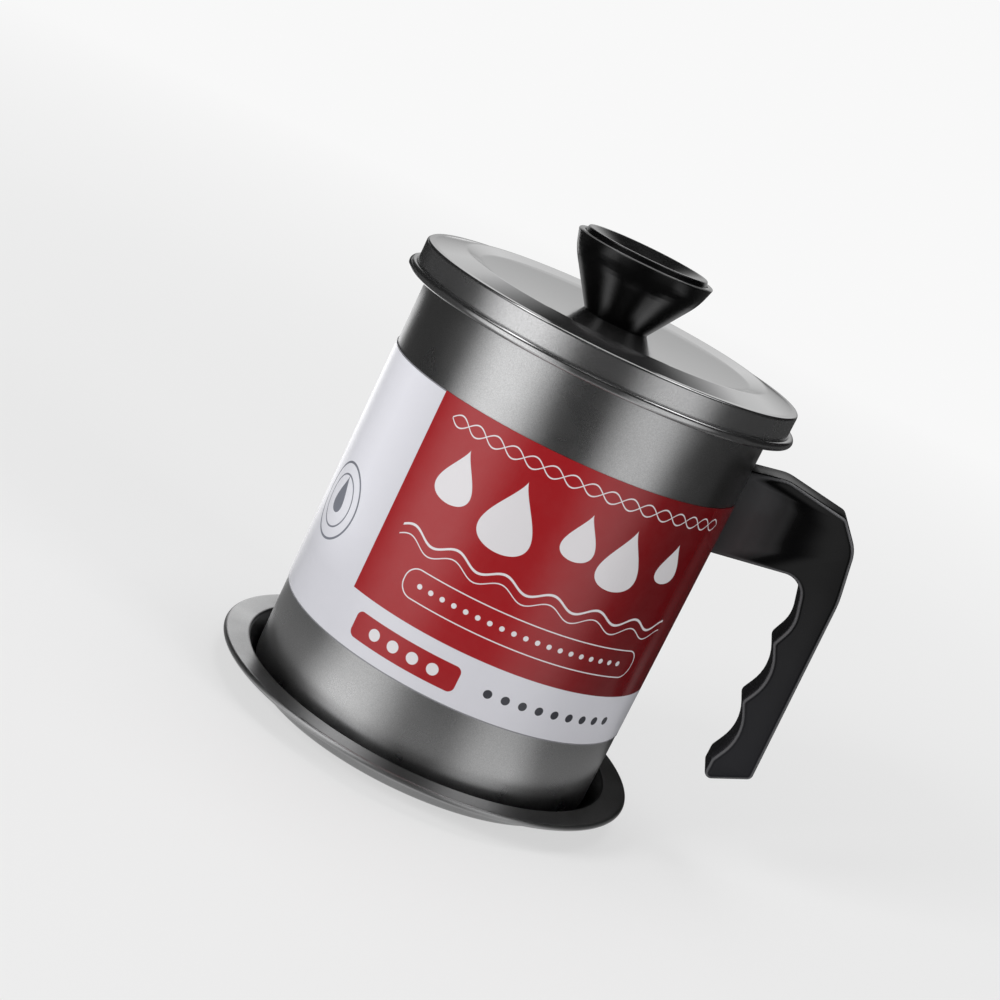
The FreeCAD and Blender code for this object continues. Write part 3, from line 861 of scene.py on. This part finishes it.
def makeGrip():
    g = grip
    inset = g["inset"]
    corners = [(-inset, g["roots"][0] + (g["roots"][0] / g["topRun"]) * inset, 0)] + g["outside"]
    for k in range(g["grooves"] + 1):
        down = g["cusp"][1] - g["pitch"] * k
        corners.append((g["cusp"][0], down, g["cusp"][2]))
        if k < g["grooves"]:
            corners.append((g["cusp"][0] + g["groove"][0], down - g["pitch"] / 2, g["groove"][1]))
    slope = (g["roots"][1] - g["corner"][1]) / g["corner"][0]
    corners += [g["neck"], g["corner"], (-inset, g["roots"][1] + slope * inset, 0)]
    line = softCorners([(out, -down, radius) for out, down, radius in corners], 7)
    curve = bpy.data.curves.new("gripOutline", "CURVE")
    curve.dimensions = "2D"
    curve.fill_mode = "BOTH"
    curve.extrude = (g["thickness"] / 2 - g["round"]) * mm
    curve.bevel_depth = g["round"] * mm
    curve.bevel_resolution = 4
    curve.offset = -g["round"] * mm
    path = curve.splines.new("POLY")
    path.points.add(len(line) - 1)
    for point, (out, up) in zip(path.points, line):
        point.co = (out * mm, up * mm, 0, 1)
    path.use_cyclic_u = True
    shape = bpy.data.objects.new("gripOutline", curve)
    bpy.context.scene.collection.objects.link(shape)
    mesh = bpy.data.meshes.new_from_object(shape.evaluated_get(bpy.context.evaluated_depsgraph_get()))
    bpy.data.objects.remove(shape)
    mesh.name = "handleGrip"
    stand = Matrix.Translation((pot["radius"] * mm, 0, g["top"] * mm)) @ Matrix.Rotation(math.pi / 2, 4, "X")
    mesh.transform(stand)
    work = bmesh.new()
    work.from_mesh(mesh)
    bmesh.ops.remove_doubles(work, verts=work.verts, dist=0.00001)
    whole = work.verts[:] + work.edges[:] + work.faces[:]
    start = (g["cutAt"] * mm, 0, 0)
    cut = bmesh.ops.bisect_plane(work, geom=whole, plane_co=start, plane_no=(1, 0, 0), clear_inner=True)
    rim = [e for e in cut["geom_cut"] if isinstance(e, bmesh.types.BMEdge)]
    bmesh.ops.holes_fill(work, edges=rim)
    bmesh.ops.recalc_face_normals(work, faces=work.faces)
    work.to_mesh(mesh)
    work.free()
    mesh.materials.clear()
    mesh.materials.append(finishes["gripResin"])
    mesh.shade_smooth()
    piece = bpy.data.objects.new("handleGrip", mesh)
    bpy.context.scene.collection.objects.link(piece)
    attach(piece, "pot")
    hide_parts("handle_grip")


makeGrip()
print("handle grip made")


# strainer: collar, woven basket

strainer = {
    "sheet": 0.5,
    "outRadius": 58.9,
    "shelfRadius": 53.4,
    "lipRadius": 63.1,
    "flange": 149.9,
    "shelf": 123.9,
    "lip": 2.4,
    "meshLow": 124.45,
    "meshSheet": 0.4,
    "meshDepth": 26.0,
    "bowlRadius": 52.0,
    "taper": 14.0,
    "bowlRound": 11.0,
    "meshRadius": 57.9,
    "pitch": 1.6,
    "wire": 0.17,
}


def makeCollar():
    s = strainer
    corners = [
        (s["shelfRadius"], s["shelf"], 0),
        (s["outRadius"], s["shelf"], 1.2),
        (s["outRadius"], s["flange"], 0),
        (s["lipRadius"], s["flange"], 0.5),
        (s["lipRadius"], s["flange"] - s["lip"], 0),
    ]
    line = sheetLine(corners, 1, s["sheet"])
    piece = turnedPiece("strainerCollar", line, "strainerSteel", 192, closed=True)
    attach(piece, "strainer")
    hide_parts("strainer_collar")


def makeWeaveTree():
    tree = bpy.data.node_groups.new("wovenWire", "GeometryNodeTree")
    tree.is_modifier = True
    face = tree.interface
    face.new_socket("Bowl", in_out="INPUT", socket_type="NodeSocketGeometry")
    for name in ("Pitch", "Wire Radius", "Reach"):
        face.new_socket(name, in_out="INPUT", socket_type="NodeSocketFloat")
    face.new_socket("Wires", in_out="INPUT", socket_type="NodeSocketInt")
    face.new_socket("Finish", in_out="INPUT", socket_type="NodeSocketMaterial")
    face.new_socket("Piece", in_out="OUTPUT", socket_type="NodeSocketGeometry")
    given = tree.nodes.new("NodeGroupInput").outputs
    result = tree.nodes.new("NodeGroupOutput").inputs
    joined = tree.nodes.new("GeometryNodeJoinGeometry")
    for turned in (0, 1):
        start = addNode(tree, "ShaderNodeCombineXYZ", X=calc(tree, "MULTIPLY", given["Reach"], -1.0))
        finish = addNode(tree, "ShaderNodeCombineXYZ", X=given["Reach"])
        line = tree.nodes.new("GeometryNodeCurvePrimitiveLine")
        tree.links.new(start.outputs[0], line.inputs["Start"])
        tree.links.new(finish.outputs[0], line.inputs["End"])
        cut = tree.nodes.new("GeometryNodeResampleCurve")
        tree.links.new(line.outputs[0], cut.inputs["Curve"])
        halfPitch = calc(tree, "MULTIPLY", given["Pitch"], 0.5)
        halves = calc(tree, "DIVIDE", given["Reach"], halfPitch)
        counted = calc(tree, "ADD", calc(tree, "MULTIPLY", halves, 2.0), 1.0)
        tree.links.new(counted, cut.inputs["Count"])
        row = addNode(tree, "GeometryNodeMeshLine", Count=given["Wires"])
        wide = calc(tree, "MULTIPLY", calc(tree, "SUBTRACT", given["Wires"], 1.0), given["Pitch"])
        origin = addNode(tree, "ShaderNodeCombineXYZ", Y=calc(tree, "MULTIPLY", wide, -0.5))
        step = addNode(tree, "ShaderNodeCombineXYZ", Y=given["Pitch"])
        tree.links.new(origin.outputs[0], row.inputs["Start Location"])
        tree.links.new(step.outputs[0], row.inputs["Offset"])
        wires = addNode(tree, "GeometryNodeInstanceOnPoints", Points=row.outputs[0], Instance=cut.outputs[0])
        real = addNode(tree, "GeometryNodeRealizeInstances", Geometry=wires.outputs[0])
        spin = addNode(tree, "GeometryNodeTransform", Geometry=real.outputs[0])
        spin.inputs["Rotation"].default_value = (0, 0, math.pi / 2 * turned)
        place = tree.nodes.new("GeometryNodeInputPosition").outputs[0]
        split = addNode(tree, "ShaderNodeSeparateXYZ", Vector=place)
        high = addNode(tree, "ShaderNodeCombineXYZ", X=split.outputs["X"], Y=split.outputs["Y"], Z=0.2)
        ray = tree.nodes.new("GeometryNodeRaycast")
        ray.data_type = "FLOAT"
        tree.links.new(given["Bowl"], ray.inputs["Target Geometry"])
        tree.links.new(high.outputs[0], ray.inputs["Source Position"])
        ray.inputs["Ray Direction"].default_value = (0, 0, -1)
        ray.inputs["Ray Length"].default_value = 1.0
        column = calc(tree, "ROUND", calc(tree, "DIVIDE", split.outputs["X"], given["Pitch"]))
        wireRow = calc(tree, "ROUND", calc(tree, "DIVIDE", split.outputs["Y"], given["Pitch"]))
        along = calc(tree, "DIVIDE", split.outputs["XY"[turned]], given["Pitch"])
        across = wireRow if turned == 0 else column
        shifted = calc(tree, "ADD", calc(tree, "ADD", along, across), float(turned))
        phase = calc(tree, "MULTIPLY", shifted, math.pi)
        lift = calc(tree, "MULTIPLY", calc(tree, "COSINE", phase), given["Wire Radius"])
        away = tree.nodes.new("ShaderNodeVectorMath")
        away.operation = "SCALE"
        tree.links.new(ray.outputs["Hit Normal"], away.inputs[0])
        tree.links.new(lift, away.inputs["Scale"])
        spot = tree.nodes.new("ShaderNodeVectorMath")
        tree.links.new(ray.outputs["Hit Position"], spot.inputs[0])
        tree.links.new(away.outputs[0], spot.inputs[1])
        laid = addNode(tree, "GeometryNodeSetPosition", Geometry=spin.outputs[0], Position=spot.outputs[0])
        reach = tree.nodes.new("ShaderNodeVectorMath")
        reach.operation = "LENGTH"
        level = addNode(tree, "ShaderNodeCombineXYZ", X=split.outputs["X"], Y=split.outputs["Y"])
        tree.links.new(level.outputs[0], reach.inputs[0])
        outside = tree.nodes.new("FunctionNodeCompare")
        outside.data_type = "FLOAT"
        outside.operation = "GREATER_THAN"
        tree.links.new(reach.outputs["Value"], outside.inputs[0])
        tree.links.new(given["Reach"], outside.inputs[1])
        kept = addNode(tree, "GeometryNodeCaptureAttribute", Geometry=spin.outputs[0])
        kept.capture_items.new("BOOLEAN", "outside")
        tree.links.new(outside.outputs[0], kept.inputs[1])
        tree.links.new(kept.outputs[0], laid.inputs["Geometry"])
        gone = kept.outputs[1]
        trimmed = addNode(tree, "GeometryNodeDeleteGeometry", Geometry=laid.outputs[0], Selection=gone)
        thin = tree.nodes.new("GeometryNodeCurvePrimitiveCircle")
        thin.inputs["Resolution"].default_value = 4
        tree.links.new(given["Wire Radius"], thin.inputs["Radius"])
        tube = sweepAlong(tree, trimmed, thin)
        tube.inputs["Fill Caps"].default_value = True
        tree.links.new(tube.outputs[0], joined.inputs[0])
    smooth = addNode(tree, "GeometryNodeSetShadeSmooth", Geometry=joined.outputs[0])
    real = addNode(tree, "GeometryNodeRealizeInstances", Geometry=smooth.outputs[0])
    dressed = addNode(tree, "GeometryNodeSetMaterial", Geometry=real.outputs[0], Material=given["Finish"])
    tree.links.new(dressed.outputs[0], result[0])
    return tree


def makeBasket():
    s = strainer
    corners = [
        (0, s["meshLow"] - s["meshDepth"], 0),
        (s["bowlRadius"] - s["taper"], s["meshLow"] - s["meshDepth"], s["bowlRound"]),
        (s["bowlRadius"], s["meshLow"], 0.8),
        (s["meshRadius"] + 0.5, s["meshLow"], 0),
    ]
    middle = [(r, z + s["meshSheet"] / 2) for r, z in softCorners(corners, 4)]
    piece = turnedPiece("wovenBasket", middle, "wireSteel", 128)
    weave = piece.modifiers.new("weave", "NODES")
    weave.node_group = makeWeaveTree()
    count = 2 * math.floor(s["meshRadius"] / s["pitch"]) + 1
    sizes = {"Pitch": s["pitch"] * mm, "WireRadius": s["wire"] * mm, "Reach": s["meshRadius"] * mm}
    setInputs(weave, Wires=count, Finish=finishes["wireSteel"], **sizes)
    bake(piece)
    faceOutwards(piece.data)
    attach(piece, "strainer")
    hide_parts("mesh_basket")


makeCollar()
makeBasket()
print("strainer made")


# lid

lid = {
    "sheet": 0.6,
    "radius": 65.0,
    "seat": 151.05,
    "disc": 151.85,
    "seatWidth": 2.2,
    "slope": 10.0,
    "step": 6.0,
    "ridge": 2.2,
    "ridgeRound": 2.5,
    "shoulder": 1.0,
    "skirt": 9.0,
    "bead": 1.5,
    "hole": 2.4,
}


def makeLid():
    d = lid
    seatRadius = d["radius"] - d["seatWidth"]
    ridgeRadius = seatRadius - d["slope"]
    corners = [
        (d["hole"], d["disc"], 0),
        (ridgeRadius - d["step"], d["disc"], d["ridgeRound"]),
        (ridgeRadius, d["seat"] + d["ridge"], d["ridgeRound"]),
        (seatRadius, d["seat"], d["ridgeRound"]),
        (d["radius"], d["seat"], d["shoulder"]),
        (d["radius"], d["seat"] - d["skirt"], 0),
    ]
    line = sheetLine(corners, -1, d["sheet"], d["bead"])
    piece = turnedPiece("lidShell", line, "lidCoating", 224, closed=True)
    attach(piece, "lid")
    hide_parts("lid_shell")


makeLid()
print("lid made")


# knob and its cap

knob = {
    "low": 151.9,
    "foot": 11.0,
    "radius": 23.5,
    "height": 22.4,
    "cone": (21.6, 16.0, 22.0),
    "rim": 2.1,
    "rimRound": 0.5,
    "recess": 3.0,
    "capGap": 0.25,
    "capHeight": 4.5,
    "capLean": 0.45,
    "capLip": 1.5,
    "capRound": 0.5,
    "dish": (7.5, 3.2, 6.0),
    "socket": (4.05, 13.05),
}


def makeKnob():
    k = knob
    top = k["low"] + k["height"]
    floor = top - k["recess"]
    mouth = k["radius"] - k["rim"]
    corners = [
        (0, k["low"] + k["socket"][1], 0),
        (k["socket"][0], k["low"] + k["socket"][1], 0),
        (k["socket"][0], k["low"], 0),
        (k["foot"], k["low"], 0.25),
        (k["cone"][0], k["low"] + k["cone"][1], k["cone"][2]),
        (k["radius"], top, k["rimRound"]),
        (mouth, top, 0.25),
        (mouth, floor, 0),
        (0, floor, 0),
    ]
    body = turnedPiece("knobBody", heldEdges(softCorners(corners, 5), 0.12), "knobResin", 160)
    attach(body, "lid")
    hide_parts("knob_body")
    low = floor + 0.05
    capTop = low + k["capHeight"]
    capRadius = mouth - k["capGap"]
    edge = capRadius - k["capLean"]
    lip = edge - k["capLip"]
    across, depth, bend = k["dish"]
    corners = [
        (0, low, 0),
        (capRadius, low, 0.3),
        (capRadius, top - 0.2, 0.3),
        (edge, capTop, k["capRound"]),
        (lip, capTop, k["capRound"]),
        (lip - across, capTop - depth, bend),
        (0, capTop - depth, 0),
    ]
    cap = turnedPiece("knobCap", heldEdges(softCorners(corners, 5), 0.12), "capResin", 160)
    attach(cap, "lid")
    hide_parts("knob_cap")


makeKnob()
print("knob made")


# small fittings keep their solids and get their own metals

fittings = {
    "handle_bracket": "bracketSteel",
    "handle_nut": "fastenerPlate",
    "handle_washer": "fastenerPlate",
    "handle_screw": "fastenerPlate",
    "mesh_clamp_ring": "strainerSteel",
    "knob_insert": "insertBrass",
    "knob_washer": "fastenerPlate",
    "knob_screw": "fastenerPlate",
}

for name, finish in fittings.items():
    slots = cadNodes[name].material_slots
    for slot in slots:
        slot.link = "DATA"
        slot.material = finishes[finish]
print("fittings dressed:", len(fittings))
